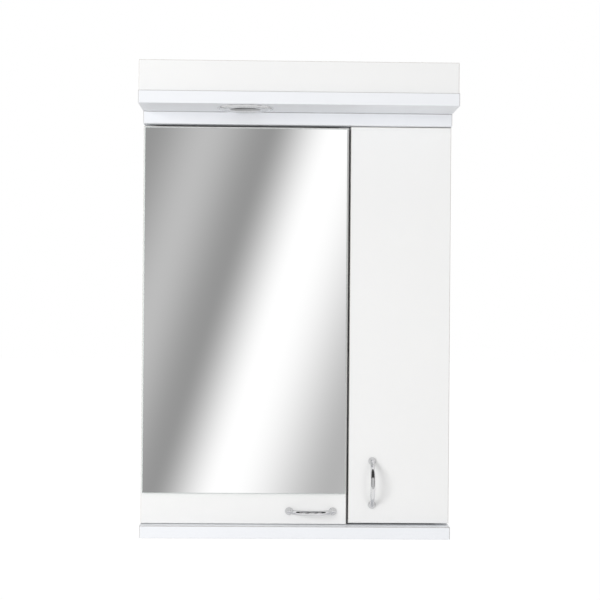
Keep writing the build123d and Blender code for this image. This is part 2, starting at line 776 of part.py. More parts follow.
with BuildPart() as lamp_holder:
    span_box(
        (spot_x - holder_half[0], spot_x + holder_half[0]),
        (spot_y - holder_half[1], spot_y + holder_half[1]),
        (lamp_top_z, lamp_top_z + holder_height),
    )
    fillet(lamp_holder.edges().filter_by(Axis.Z), holder_round)
    for side in (-1, 1):
        pin_z = (lamp_top_z, lamp_top_z + lamp_pin_length)
        upright_rod(spot_x + side * lamp_pin_offset, spot_y, pin_z, lamp_pin_radius, Mode.SUBTRACT)
save(lamp_holder, "lamp_holder")

# Supply on top of the canopy board: transformer, terminal block, cable clamp and two leads
transformer_x = (45.0, 135.0)
transformer_y = (-196.0, -162.0)
transformer_height = 22.0
lug_length = 10.0
lug_height = 3.0
transformer_screws_x = (transformer_x[0] - lug_length / 2, transformer_x[1] + lug_length / 2)
transformer_mid_y = sum(transformer_y) / 2
lug_offset = 9.0
lug_mid_y = transformer_mid_y + lug_offset
lug_y = (lug_mid_y - lug_length / 2, lug_mid_y + lug_length / 2)
transformer_corner = 3.0
transformer_round = 1.5

with BuildPart() as transformer:
    height = (canopy_top_z, canopy_top_z + transformer_height)
    span_box(transformer_x, transformer_y, height)
    fillet(transformer.edges().filter_by(Axis.Z), transformer_corner)
    fillet(transformer.faces().sort_by(Axis.Z)[-1].edges(), transformer_round)
    lug_x = (transformer_x[0] - lug_length, transformer_x[1] + lug_length)
    span_box(lug_x, lug_y, (canopy_top_z, canopy_top_z + lug_height))
    for x in transformer_screws_x:
        lug_z = (canopy_top_z, canopy_top_z + lug_height)
        upright_rod(x, lug_mid_y, lug_z, small_screw_radius, Mode.SUBTRACT)
save(transformer, "transformer")

block_x = (170.0, 188.0)
block_y = (-96.0, -66.0)
block_height = 14.0
block_poles = 3
block_pitch = 10.0
block_round = 1.5
pole_inset = 5.0
pole_depth = 4.0
pole_radius = 2.2

with BuildPart() as terminal_block:
    span_box(block_x, block_y, (canopy_top_z, canopy_top_z + block_height))
    fillet(terminal_block.edges().filter_by(Axis.Z), block_round)
    top_z = canopy_top_z + block_height
    for pole in range(block_poles):
        y = block_y[0] + block_pitch * pole + block_pitch / 2
        for x in (block_x[0] + pole_inset, block_x[1] - pole_inset):
            upright_rod(x, y, (top_z - pole_depth, top_z), pole_radius, Mode.SUBTRACT)
save(terminal_block, "terminal_block")

clamp_x = 179.0
clamp_y = -22.0
clamp_half = 16.0
clamp_width = 10.0
cable_radius = 3.5
clamp_wall = 2.5
clamp_floor = 1.0
clamp_screw_offset = 11.0

with BuildPart() as cable_clamp:
    clamp_span = (clamp_y - clamp_width / 2, clamp_y + clamp_width / 2)
    foot_z = (canopy_top_z, canopy_top_z + clamp_wall)
    span_box((clamp_x - clamp_half, clamp_x + clamp_half), clamp_span, foot_z)
    crown = cable_radius + clamp_wall
    cable_z = canopy_top_z + clamp_floor + cable_radius
    depth_rod(clamp_x, clamp_span, cable_z, crown)
    split(bisect_by=Plane.XY.offset(canopy_top_z), keep=Keep.TOP)
    depth_rod(clamp_x, clamp_span, cable_z, cable_radius, Mode.SUBTRACT)
    for side in (-1, 1):
        screw_x = clamp_x + side * clamp_screw_offset
        upright_rod(screw_x, clamp_y, foot_z, small_screw_radius, Mode.SUBTRACT)
save(cable_clamp, "cable_clamp")

# Leads: round two-core cable lying on the board, straight runs joined by arcs.
# The inner points are X, Y and the height above the canopy board.
lead_radius = 2.2
lead_exit_offset = 4.0
lead_exit_height = 6.0
corner_share = 0.45
lamp_lead_points = ((28.0, -183.0, 6.0), (8.0, -193.0, 4.0), (-18.0, -199.0, 10.0), (-42.0, -195.0, 28.5))
supply_lead_points = ((154.0, -183.0, 6.0), (172.0, -169.0, 4.0), (181.0, -140.0, 4.0), (179.0, -96.0, 6.0))
lead_exit_y = transformer_mid_y - lead_exit_offset
lead_exit_z = canopy_top_z + lead_exit_height
lamp_lead_start = (transformer_x[0], lead_exit_y, lead_exit_z)
lamp_lead_end = (spot_x + holder_half[0], spot_y, lamp_top_z + holder_height / 2)
supply_lead_start = (transformer_x[1], lead_exit_y, lead_exit_z)
lamp_lead_route = [lamp_lead_start]
lamp_lead_route += [(x, y, canopy_top_z + lift) for x, y, lift in lamp_lead_points]
lamp_lead_route += [lamp_lead_end]
supply_lead_route = [supply_lead_start]
supply_lead_route += [(x, y, canopy_top_z + lift) for x, y, lift in supply_lead_points]


def corner_radii(route):
    """An arc at each inner point that takes up the corner share of its shorter run."""
    radii = []
    for before, here, after in zip(route, route[1:], route[2:]):
        run_in = Vector(*here) - Vector(*before)
        run_out = Vector(*after) - Vector(*here)
        turn = math.radians(run_in.get_angle(run_out))
        radii.append(corner_share * min(run_in.length, run_out.length) / math.tan(turn / 2))
    return radii


for name, route in (("lamp_lead", lamp_lead_route), ("supply_lead", supply_lead_route)):
    radii = corner_radii(route)
    print(name, "radii", [round(r, 1) for r in radii])
    with BuildPart() as lead:
        with BuildLine() as path:
            FilletPolyline(*route, radius=radii)
        start = path.line @ 0
        with BuildSketch(Plane(start, z_dir=path.line % 0)):
            Circle(lead_radius)
        sweep()
    length = sum(edge.length for edge in path.edges())
    share = lead.part.volume / (math.pi * lead_radius**2 * length)
    print(name, "length", round(length, 1), "volume share", round(share, 4))
    save(lead, name)

fixing_spots = [(x, lug_mid_y, lug_height) for x in transformer_screws_x]
fixing_spots += [(clamp_x + side * clamp_screw_offset, clamp_y, clamp_wall) for side in (-1, 1)]

with BuildPart() as fixing_screws:
    for x, y, lift in fixing_spots:
        head_z = canopy_top_z + lift
        upright_rod(x, y, (canopy_top_z, head_z), small_screw_radius)
        upright_rod(x, y, (head_z, head_z + small_head_height), small_head_radius)
save(fixing_screws, "fixing_screws")
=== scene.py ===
import json
import math

import bmesh
import bpy
from mathutils import Matrix, Vector


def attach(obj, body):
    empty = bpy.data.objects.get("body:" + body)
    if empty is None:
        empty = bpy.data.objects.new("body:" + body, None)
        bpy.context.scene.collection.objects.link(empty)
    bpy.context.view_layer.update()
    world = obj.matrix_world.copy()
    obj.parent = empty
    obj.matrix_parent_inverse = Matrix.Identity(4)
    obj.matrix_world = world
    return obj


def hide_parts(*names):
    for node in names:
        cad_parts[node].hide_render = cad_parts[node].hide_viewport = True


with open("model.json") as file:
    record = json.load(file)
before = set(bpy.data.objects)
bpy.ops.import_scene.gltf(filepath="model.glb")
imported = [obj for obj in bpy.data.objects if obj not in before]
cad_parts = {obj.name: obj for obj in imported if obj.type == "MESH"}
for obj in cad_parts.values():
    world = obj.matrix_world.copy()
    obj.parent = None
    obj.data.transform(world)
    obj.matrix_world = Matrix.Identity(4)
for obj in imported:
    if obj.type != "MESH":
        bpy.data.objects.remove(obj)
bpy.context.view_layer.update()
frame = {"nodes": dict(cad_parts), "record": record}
nodes = frame["nodes"]
print("frame loaded:", len(nodes), "nodes")


# Camera: level, a little left of the cabinet's middle, at mirror height
camera = {
    "place": (-0.0394, -2.3230, -0.2239),
    "yaw": 0.0204,
    "pitch": 0.0046,
    "roll": 0.0081,
    "lens": 89.56,
    "sensor": 36.0,
}


def makeCamera(facts):
    yaw, pitch, roll = facts["yaw"], facts["pitch"], facts["roll"]
    forward = Vector((math.sin(yaw) * math.cos(pitch), math.cos(yaw) * math.cos(pitch), math.sin(pitch)))
    right = Vector((math.cos(yaw), -math.sin(yaw), 0))
    up = right.cross(forward)
    tiltedRight = math.cos(roll) * right + math.sin(roll) * up
    tiltedUp = -math.sin(roll) * right + math.cos(roll) * up
    data = bpy.data.cameras.new("camera")
    data.lens = facts["lens"]
    data.sensor_width = facts["sensor"]
    holder = bpy.data.objects.new("camera", data)
    turn = Matrix((tiltedRight, tiltedUp, -forward)).transposed().to_4x4()
    holder.matrix_world = Matrix.Translation(facts["place"]) @ turn
    bpy.context.scene.collection.objects.link(holder)
    bpy.context.scene.camera = holder


makeCamera(camera)
bpy.context.scene.view_settings.view_transform = "Standard"
print("camera set")


# Node helpers
def addNode(tree, kind, values=None, **settings):
    node = tree.nodes.new(kind)
    for name, value in settings.items():
        setattr(node, name, value)
    for name, value in (values or {}).items():
        node.inputs[name].default_value = value
    return node


def join(tree, source, target):
    tree.links.new(source, target)


def addSockets(tree, way, sockets):
    for name, kind in sockets.items():
        tree.interface.new_socket(name, in_out=way, socket_type="NodeSocket" + kind)


def maths(tree, operation, first, second=None, third=None, clamp=False):
    node = addNode(tree, "ShaderNodeMath", operation=operation, use_clamp=clamp)
    for place, value in enumerate((first, second, third)):
        if value is None:
            continue
        if isinstance(value, (int, float)):
            node.inputs[place].default_value = value
        else:
            join(tree, value, node.inputs[place])
    return node.outputs[0]


def blendColors(tree, factor, first, second, mode="MIX"):
    node = addNode(tree, "ShaderNodeMix", data_type="RGBA", blend_type=mode)
    for name, value in (("Factor", factor), ("A", first), ("B", second)):
        socket = node.inputs[name]
        if isinstance(value, (int, float)):
            socket.default_value = value
        elif isinstance(value, tuple):
            socket.default_value = (*value, 1)
        else:
            join(tree, value, socket)
    return node.outputs["Result"]


def stretchRange(tree, value, low, high, fromLow=0.0, fromHigh=1.0):
    node = addNode(tree, "ShaderNodeMapRange", {"From Min": fromLow, "From Max": fromHigh})
    join(tree, value, node.inputs["Value"])
    for name, limit in (("To Min", low), ("To Max", high)):
        if isinstance(limit, (int, float)):
            node.inputs[name].default_value = limit
        else:
            join(tree, limit, node.inputs[name])
    return node.outputs["Result"]


# Shared effect: slow tone drift, a roughness that wanders with it, and a fine surface height
def makeDriftGroup():
    tree = bpy.data.node_groups.new("toneDrift", "ShaderNodeTree")
    addSockets(tree, "INPUT", {"Color": "Color", "Drift": "Float", "Size": "Float", "Roughness": "Float",
                               "Spread": "Float", "Grain Size": "Float"})
    addSockets(tree, "OUTPUT", {"Color": "Color", "Roughness": "Float", "Height": "Float"})
    given = addNode(tree, "NodeGroupInput")
    made = addNode(tree, "NodeGroupOutput")
    place = addNode(tree, "ShaderNodeTexCoord").outputs["Object"]
    slow = addNode(tree, "ShaderNodeTexNoise", {"Detail": 3.0, "Roughness": 0.55})
    join(tree, place, slow.inputs["Vector"])
    join(tree, given.outputs["Size"], slow.inputs["Scale"])
    darkest = maths(tree, "SUBTRACT", 1.0, given.outputs["Drift"])
    tone = stretchRange(tree, slow.outputs["Fac"], darkest, 1.0, 0.3, 0.7)
    shaded = addNode(tree, "ShaderNodeVectorMath", operation="SCALE")
    join(tree, given.outputs["Color"], shaded.inputs[0])
    join(tree, tone, shaded.inputs["Scale"])
    join(tree, shaded.outputs["Vector"], made.inputs["Color"])
    smooth = maths(tree, "SUBTRACT", given.outputs["Roughness"], given.outputs["Spread"])
    rough = maths(tree, "ADD", given.outputs["Roughness"], given.outputs["Spread"])
    join(tree, stretchRange(tree, slow.outputs["Fac"], smooth, rough, 0.25, 0.75), made.inputs["Roughness"])
    grain = addNode(tree, "ShaderNodeTexNoise", {"Detail": 2.0})
    join(tree, place, grain.inputs["Vector"])
    join(tree, given.outputs["Grain Size"], grain.inputs["Scale"])
    join(tree, grain.outputs["Fac"], made.inputs["Height"])
    return tree


driftGroup = makeDriftGroup()


# Shared effect: a board's raw rear edge, and a dark line along the upward and sideways front roundings,
# partly the edging's joint line and partly painted shade in the seams between boards
boardEdges = {
    "facing": 0.9,
    "jointShadeFrom": -0.22,
    "jointShadeFull": -0.44,
}


def makeFacingGroup(facts):
    tree = bpy.data.node_groups.new("boardFacing", "ShaderNodeTree")
    addSockets(tree, "OUTPUT", {"Rear": "Float", "JointAndShade": "Float"})
    made = addNode(tree, "NodeGroupOutput")
    normal = addNode(tree, "ShaderNodeSeparateXYZ")
    join(tree, addNode(tree, "ShaderNodeTexCoord").outputs["Normal"], normal.inputs[0])
    join(tree, maths(tree, "GREATER_THAN", normal.outputs["Y"], facts["facing"]), made.inputs["Rear"])
    sideways = maths(tree, "ABSOLUTE", normal.outputs["X"])
    outward = maths(tree, "MAXIMUM", normal.outputs["Z"], sideways)
    rounded = maths(tree, "MULTIPLY", outward, normal.outputs["Y"])
    # the mask of the line on the roundings: edging joint and painted seam shade
    jointAndShade = stretchRange(tree, rounded, 0.0, 1.0, facts["jointShadeFrom"], facts["jointShadeFull"])
    join(tree, jointAndShade, made.inputs["JointAndShade"])
    return tree


# Shared effect: pressed wood, as chips of mixed tone and a height that follows them
chipStretch = (0.55, 1.0, 1.0)


def makeChipGroup():
    tree = bpy.data.node_groups.new("pressedWood", "ShaderNodeTree")
    addSockets(tree, "INPUT", {"Size": "Float", "Dark": "Color", "Light": "Color"})
    addSockets(tree, "OUTPUT", {"Color": "Color", "Height": "Float"})
    given = addNode(tree, "NodeGroupInput")
    made = addNode(tree, "NodeGroupOutput")
    place = addNode(tree, "ShaderNodeMapping", {"Scale": chipStretch})
    join(tree, addNode(tree, "ShaderNodeTexCoord").outputs["Object"], place.inputs["Vector"])
    cells = addNode(tree, "ShaderNodeTexVoronoi", {"Randomness": 1.0})
    join(tree, place.outputs[0], cells.inputs["Vector"])
    join(tree, given.outputs["Size"], cells.inputs["Scale"])
    tone = addNode(tree, "ShaderNodeSeparateColor")
    join(tree, cells.outputs["Color"], tone.inputs[0])
    color = blendColors(tree, tone.outputs[0], given.outputs["Dark"], given.outputs["Light"])
    join(tree, color, made.inputs["Color"])
    join(tree, tone.outputs[1], made.inputs["Height"])
    return tree


facingGroup = makeFacingGroup(boardEdges)
chipGroup = makeChipGroup()


def startMaterial(name, finish, **fixed):
    material = bpy.data.materials.new(name)
    material.use_nodes = True
    tree = material.node_tree
    shader = tree.nodes["Principled BSDF"]
    for socket, value in fixed.items():
        shader.inputs[socket.replace("_", " ")].default_value = value
    drift = addNode(tree, "ShaderNodeGroup", node_tree=driftGroup)
    drift.inputs["Color"].default_value = (*finish["color"], 1)
    drift.inputs["Drift"].default_value = finish["drift"]
    drift.inputs["Size"].default_value = finish["size"]
    drift.inputs["Roughness"].default_value = finish["roughness"]
    drift.inputs["Spread"].default_value = finish["spread"]
    drift.inputs["Grain Size"].default_value = finish["grainSize"]
    join(tree, drift.outputs["Color"], shader.inputs["Base Color"])
    join(tree, drift.outputs["Roughness"], shader.inputs["Roughness"])
    bump = addNode(tree, "ShaderNodeBump", {"Strength": finish["bump"], "Distance": finish["depth"]})
    join(tree, drift.outputs["Height"], bump.inputs["Height"])
    join(tree, bump.outputs["Normal"], shader.inputs["Normal"])
    return material, tree, shader, drift


finishes = {
    "carcassLaminate": {"color": (0.895, 0.91, 0.94), "drift": 0.02, "size": 9.0, "roughness": 0.42,
                        "spread": 0.05, "grainSize": 1400.0, "bump": 0.08, "depth": 0.0002},
    "frontLaminate": {"color": (0.92, 0.92, 0.915), "drift": 0.015, "size": 7.0, "roughness": 0.36,
                      "spread": 0.04, "grainSize": 1100.0, "bump": 0.05, "depth": 0.0002},
    "hardboard": {"color": (0.88, 0.88, 0.87), "drift": 0.04, "size": 30.0, "roughness": 0.55,
                  "spread": 0.08, "grainSize": 900.0, "bump": 0.15, "depth": 0.0003},
    "foamTape": {"color": (0.86, 0.86, 0.84), "drift": 0.08, "size": 60.0, "roughness": 0.85,
                 "spread": 0.05, "grainSize": 2600.0, "bump": 0.4, "depth": 0.0003},
    "handleChrome": {"color": (0.72, 0.72, 0.73), "drift": 0.05, "size": 140.0, "roughness": 0.07,
                     "spread": 0.04, "grainSize": 500.0, "bump": 0.02, "depth": 0.0001},
    "ringChrome": {"color": (0.7, 0.7, 0.71), "drift": 0.05, "size": 90.0, "roughness": 0.24,
                   "spread": 0.06, "grainSize": 900.0, "bump": 0.03, "depth": 0.0001},
    "hingeSteel": {"color": (0.64, 0.64, 0.65), "drift": 0.06, "size": 120.0, "roughness": 0.3,
                   "spread": 0.08, "grainSize": 800.0, "bump": 0.06, "depth": 0.0001},
    "screwSteel": {"color": (0.58, 0.59, 0.6), "drift": 0.15, "size": 300.0, "roughness": 0.33,
                   "spread": 0.1, "grainSize": 1500.0, "bump": 0.08, "depth": 0.0001},
    "beech": {"color": (0.62, 0.42, 0.25), "drift": 0.2, "size": 120.0, "roughness": 0.6, "spread": 0.08,
              "grainSize": 900.0, "bump": 0.3, "depth": 0.0002},
    "whitePlastic": {"color": (0.86, 0.86, 0.85), "drift": 0.03, "size": 60.0, "roughness": 0.45,
                     "spread": 0.06, "grainSize": 1800.0, "bump": 0.1, "depth": 0.0001},
    "clearRubber": {"color": (0.75, 0.78, 0.78), "drift": 0.04, "size": 200.0, "roughness": 0.35,
                    "spread": 0.05, "grainSize": 900.0, "bump": 0.05, "depth": 0.0001},
    "lampGlass": {"color": (0.5, 0.51, 0.53), "drift": 0.1, "size": 150.0, "roughness": 0.2,
                  "spread": 0.05, "grainSize": 400.0, "bump": 0.1, "depth": 0.0003},
    "ceramic": {"color": (0.8, 0.77, 0.7), "drift": 0.08, "size": 150.0, "roughness": 0.6,
                "spread": 0.08, "grainSize": 1200.0, "bump": 0.25, "depth": 0.0002},
    # painted shade: a matt mid grey for the ring's bore, standing in for its shaded chrome
    "boreGrey": {"color": (0.58, 0.58, 0.59), "drift": 0.06, "size": 90.0, "roughness": 0.55,
                 "spread": 0.06, "grainSize": 900.0, "bump": 0.05, "depth": 0.0001},
    "brass": {"color": (0.78, 0.58, 0.28), "drift": 0.12, "size": 300.0, "roughness": 0.3,
              "spread": 0.08, "grainSize": 1500.0, "bump": 0.06, "depth": 0.0001},
    "reflectorCoat": {"color": (0.74, 0.76, 0.8), "drift": 0.06, "size": 90.0, "roughness": 0.12,
                      "spread": 0.04, "grainSize": 900.0, "bump": 0.03, "depth": 0.0001},
    "clearGlass": {"color": (0.97, 0.98, 0.98), "drift": 0.02, "size": 60.0, "roughness": 0.04,
                   "spread": 0.02, "grainSize": 500.0, "bump": 0.02, "depth": 0.0001},
    "frontGlass": {"color": (0.88, 0.89, 0.9), "drift": 0.04, "size": 80.0, "roughness": 0.14,
                   "spread": 0.04, "grainSize": 700.0, "bump": 0.05, "depth": 0.0001},
    "cableSheath": {"color": (0.84, 0.84, 0.83), "drift": 0.03, "size": 80.0, "roughness": 0.4,
                    "spread": 0.06, "grainSize": 900.0, "bump": 0.06, "depth": 0.0001},
}
finishes["railLaminate"] = finishes["carcassLaminate"]
metals = ("handleChrome", "ringChrome", "hingeSteel", "screwSteel", "brass", "reflectorCoat")
clearness = {"clearGlass": 1.0, "frontGlass": 0.3, "clearRubber": 0.5}

# Boards: the tone of the line on the roundings, partly the edging's joint and partly painted seam shade, and
# the pressed wood on rear edges or faces
boards = {
    "carcassLaminate": {"jointAndShade": (0.52, 0.51, 0.5), "chipSize": 900.0, "dark": (0.36, 0.25, 0.15),
                        "light": (0.72, 0.57, 0.38)},
    "railLaminate": {"jointAndShade": (0.52, 0.51, 0.5)},
    "frontLaminate": {"jointAndShade": (0.72, 0.7, 0.66)},
    "hardboard": {"jointAndShade": (0.5, 0.4, 0.3), "chipSize": 1500.0, "dark": (0.24, 0.14, 0.075),
                  "light": (0.4, 0.26, 0.15)},
}

materials = {}
for name, finish in finishes.items():
    if name in boards:
        continue
    metal = 1.0 if name in metals else 0.0
    clear = clearness.get(name, 0.0)
    materials[name] = startMaterial(name, finish, Metallic=metal, Transmission_Weight=clear)[0]


def makeBoard(name, facts):
    material, tree, shader, drift = startMaterial(name, finishes[name])
    facing = addNode(tree, "ShaderNodeGroup", node_tree=facingGroup)
    # the line on the roundings: partly the edging's joint, partly painted shade in the seams
    color = blendColors(tree, facing.outputs["JointAndShade"], drift.outputs["Color"], facts["jointAndShade"])
    if "chipSize" in facts:
        chips = addNode(tree, "ShaderNodeGroup", node_tree=chipGroup)
        chips.inputs["Size"].default_value = facts["chipSize"]
        chips.inputs["Dark"].default_value = (*facts["dark"], 1)
        chips.inputs["Light"].default_value = (*facts["light"], 1)
        color = blendColors(tree, facing.outputs["Rear"], color, chips.outputs["Color"])
        bump = tree.nodes["Bump"]
        height = addNode(tree, "ShaderNodeMix", data_type="FLOAT")
        join(tree, facing.outputs["Rear"], height.inputs["Factor"])
        join(tree, drift.outputs["Height"], height.inputs["A"])
        join(tree, chips.outputs["Height"], height.inputs["B"])
        join(tree, height.outputs["Result"], bump.inputs["Height"])
    join(tree, color, shader.inputs["Base Color"])
    return material


for name, facts in boards.items():
    materials[name] = makeBoard(name, facts)


mirrorFinish = {
    "silver": (0.935, 0.935, 0.935),
    "edge": (0.62, 0.69, 0.66),
    "haze": 0.015,
    "edgeRoughness": 0.12,
    "facing": 0.9,
}


def makeMirror(facts):
    material = bpy.data.materials.new("mirror")
    material.use_nodes = True
    tree = material.node_tree
    shader = tree.nodes["Principled BSDF"]
    normal = addNode(tree, "ShaderNodeTexCoord").outputs["Normal"]
    parts = addNode(tree, "ShaderNodeSeparateXYZ")
    join(tree, normal, parts.inputs[0])
    face = maths(tree, "LESS_THAN", parts.outputs["Y"], -facts["facing"])
    join(tree, face, shader.inputs["Metallic"])
    join(tree, blendColors(tree, face, facts["edge"], facts["silver"]), shader.inputs["Base Color"])
    join(tree, stretchRange(tree, face, facts["edgeRoughness"], facts["haze"]), shader.inputs["Roughness"])
    return material


materials["mirror"] = makeMirror(mirrorFinish)

slotFinish = {
    "carcass_laminate": "carcassLaminate",
    "front_laminate": "frontLaminate",
    "hardboard": "hardboard",
    "mirror": "mirror",
    "foam_tape": "foamTape",
    "handle_chrome": "handleChrome",
    "ring_chrome": "ringChrome",
    "beech": "beech",
    "white_plastic": "whitePlastic",
    "clear_rubber": "clearRubber",
    "lamp_glass": "lampGlass",
    "ceramic": "ceramic",
    "cable_sheath": "cableSheath",
    "hinge_steel": "hingeSteel",
    "screw_steel": "screwSteel",
}
slotOf = {entry["node"]: entry["material_slot"] for entry in frame["record"]["subparts"]}
ownFinish = {"hanging_rail": "railLaminate"}
for name, piece in nodes.items():
    piece.data.materials.clear()
    piece.data.materials.append(materials[ownFinish.get(name, slotFinish[slotOf[name]])])

# Stamped and moulded parts get broken edges
softened = {
    "hinge_cups_left": 0.12, "hinge_cups_right": 0.12, "hinge_arms_left": 0.3, "hinge_arms_right": 0.3,
    "hinge_plates_left": 0.25, "hinge_plates_right": 0.25, "lamp_holder": 0.5, "cable_clamp": 0.5,
}
for name, width in softened.items():
    weld = nodes[name].modifiers.new("weld", "WELD")
    weld.merge_threshold = 0.00001
    bevel = nodes[name].modifiers.new("bevel", "BEVEL")
    bevel.width = width * 0.001
    bevel.segments = 2
    bevel.limit_method = "ANGLE"
    bevel.angle_limit = math.radians(40)
    nodes[name].modifiers.new("normals", "WEIGHTED_NORMAL")
print("materials assigned")


# Leads on top of the canopy board, along the same points as their solids
leads = {
    "lampLead": {"node": "lamp_lead", "length": 0.121, "route": (
        (0.045, -0.183, 0.083), (0.028, -0.183, 0.083), (0.008, -0.193, 0.081), (-0.018, -0.199, 0.087),
        (-0.042, -0.195, 0.1055), (-0.067, -0.194, 0.1095))},
    "supplyLead": {"node": "supply_lead", "length": 0.115, "route": (
        (0.135, -0.183, 0.083), (0.154, -0.183, 0.083), (0.172, -0.169, 0.081), (0.181, -0.140, 0.081),
        (0.179, -0.096, 0.083))},
}
leadRadius = 0.0022


def makeLead(name, facts):
    curve = bpy.data.curves.new(name, "CURVE")
    curve.dimensions = "3D"
    curve.bevel_depth = leadRadius
    curve.bevel_resolution = 6
    curve.resolution_u = 24
    curve.use_fill_caps = True
    line = curve.splines.new("NURBS")
    line.points.add(len(facts["route"]) - 1)
    for point, place in zip(line.points, facts["route"]):
        point.co = (*place, 1)
    line.order_u = 3
    line.use_endpoint_u = True
    curve.materials.append(materials["cableSheath"])
    piece = bpy.data.objects.new(name, curve)
    bpy.context.scene.collection.objects.link(piece)
    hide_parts(facts["node"])
    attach(piece, "carcass")


for name, facts in leads.items():
    makeLead(name, facts)
print("leads laid")


# Mesh helpers; pieces are drawn in millimetres
mm = 0.001
forward = Vector((0, -1, 0))
upward = Vector((0, 0, 1))


def standOn(place, outward, along=None):
    up = Vector(outward).normalized()
    side = Vector(along) if along else up.orthogonal()
    side = (side - side.project(up)).normalized()
    turn = Matrix((side, up.cross(side), up)).transposed().to_4x4()
    return Matrix.Translation(Vector(place) * mm) @ turn


def polar(radius, angle, height):
    return Vector((radius * math.cos(angle), radius * math.sin(angle), height)) * mm


def stitch(shape, rings, skin=0):
    for lower, upper in zip(rings, rings[1:]):
        count = max(len(lower), len(upper))
        for step in range(count):
            after = (step + 1) % count
            corners = (lower[step % len(lower)], lower[after % len(lower)],
                       upper[after % len(upper)], upper[step % len(upper)])
            face = shape.faces.new(dict.fromkeys(corners))
            face.material_index = skin


def lathe(shape, profile, where, steps=32, skin=0, closed=False):
    rings = []
    for radius, height in profile:
        count = steps if radius else 1
        rings.append([shape.verts.new(where @ polar(radius, 2 * math.pi * step / steps, height))
                      for step in range(count)])
    if closed:
        rings.append(rings[0])
    stitch(shape, rings, skin)


def block(shape, low, high, rounding=0.0, skin=0, segments=2):
    corners = bmesh.ops.create_cube(shape, size=1)["verts"]
    for corner in corners:
        corner.co = Vector((a + b) / 2 + c * (b - a) for a, b, c in zip(low, high, corner.co)) * mm
    for face in dict.fromkeys(face for corner in corners for face in corner.link_faces):
        face.material_index = skin
    if rounding:
        edges = list(dict.fromkeys(edge for corner in corners for edge in corner.link_edges))
        bmesh.ops.bevel(shape, geom=edges, offset=rounding * mm, segments=segments, profile=0.5,
                        affect="EDGES")


def bentStrip(shape, path, halfWidth, thickness, where):
    rings = []
    for number, (across, up) in enumerate(path):
        before = path[max(number - 1, 0)]
        after = path[min(number + 1, len(path) - 1)]
        heading = (Vector(after) - Vector(before)).normalized()
        rim = Vector((-heading.y, heading.x)) * thickness / 2
        ring = []
        for side, face in ((-1, -1), (1, -1), (1, 1), (-1, 1)):
            spot = Vector((across + face * rim.x, side * halfWidth, up + face * rim.y)) * mm
            ring.append(shape.verts.new(where @ spot))
        rings.append(ring)
    stitch(shape, rings)
    shape.faces.new(rings[0])
    shape.faces.new(rings[-1])


def addPiece(name, shape, body, skins, stands=(), flatSkins=(), sharpAbove=35):
    bmesh.ops.recalc_face_normals(shape, faces=shape.faces)
    mesh = bpy.data.meshes.new(name)
    shape.to_mesh(mesh)
    shape.free()
    for skin in skins:
        mesh.materials.append(materials[skin])
    mesh.shade_smooth()
    mesh.set_sharp_from_angle(angle=math.radians(sharpAbove))
    for face in mesh.polygons:
        if face.material_index in flatSkins:
            face.use_smooth = False
    piece = bpy.data.objects.new(name, mesh)
    bpy.context.scene.collection.objects.link(piece)
    if stands:
        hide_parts(*stands)
    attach(piece, body)
    return piece


# The box of each fastener in a node that holds several, read from the node itself
def spotsOf(name, axis, apart=0.012):
    piece = nodes[name]
    spots = []
    for corner in piece.data.vertices:
        place = piece.matrix_world @ corner.co
        flat = [value for number, value in enumerate(place) if number != axis]
        for spot in spots:
            if math.dist(flat, spot["flat"]) < apart:
                break
        else:
            spot = {"flat": flat, "low": place.copy(), "high": place.copy()}
            spots.append(spot)
        for number in range(3):
            spot["low"][number] = min(spot["low"][number], place[number])
            spot["high"][number] = max(spot["high"][number], place[number])
    return [(spot["low"] / mm, spot["high"] / mm) for spot in spots]


# Bow handles: one casting that swells from two round feet into an arched bar
bow = {
    "halfPitch": 32.0,
    "rise": 22.9,
    "joinHeight": 9.0,
    "footRadius": 5.8,
    "footFlare": 3.2,
    "rimHeight": 0.7,
    "halfThickness": 2.1,
    "halfWidthEnd": 2.6,
    "halfWidthMiddle": 3.3,
    "footSteps": 14,
    "footCrowding": 1.4,
    "footBreak": 0.25,
    "arcSteps": 22,
    "roundSteps": 36,
}
handles = {
    "leftBowHandle": {"node": "left_handle", "body": "left_door", "middle": (23.4, -141.0, -522.4),
                      "along": (1, 0, 0)},
    "rightBowHandle": {"node": "right_handle", "body": "right_door", "middle": (112.6, -141.0, -480.5),
                       "along": (0, 0, 1)},
}


def bowStations(facts):
    half, rise = facts["halfPitch"], facts["rise"]
    radius = (half**2 + rise**2) / (2 * rise)
    joinAngle = math.acos((facts["joinHeight"] - rise + radius) / radius)
    joinPlace = Vector((radius * math.sin(joinAngle), facts["joinHeight"]))
    lean = Vector((-math.cos(joinAngle), math.sin(joinAngle)))
    foot = Vector((half, 0))
    grip = facts["joinHeight"] / 2
    pulls = (foot, foot + Vector((0, grip)), joinPlace - grip * lean, joinPlace)
    spread = facts["footRadius"] - facts["halfWidthEnd"]
    widening = facts["halfWidthMiddle"] - facts["halfWidthEnd"]
    thickening = facts["footRadius"] - facts["halfThickness"]
    places = []
    for step in range(facts["footSteps"] + 1):
        t = (step / facts["footSteps"]) ** facts["footCrowding"]
        shares = ((1 - t)**3, 3 * t * (1 - t)**2, 3 * t**2 * (1 - t), t**3)
        places.append(sum((share * spot for share, spot in zip(shares, pulls)), Vector((0, 0))))
    for step in range(1, facts["arcSteps"] + 1):
        angle = joinAngle * (1 - step / facts["arcSteps"])
        places.append(Vector((radius * math.sin(angle), rise - radius + radius * math.cos(angle))))
    stations = []
    travelled = 0.0
    for number, place in enumerate(places):
        if number:
            travelled += (place - places[number - 1]).length
        share = number / (len(places) - 1)
        flare = spread * math.exp(-max(travelled - facts["rimHeight"], 0) / facts["footFlare"])
        width = facts["halfWidthEnd"] + widening * (1 - (1 - share)**2) + flare
        thick = facts["halfThickness"] + flare * thickening / spread
        if number == 0:
            width, thick = width - facts["footBreak"], thick - facts["footBreak"]
        stations.append((place, width, thick))
    mirrored = [(Vector((-place.x, place.y)), width, thick)
                for place, width, thick in reversed(stations[:-1])]
    return stations + mirrored


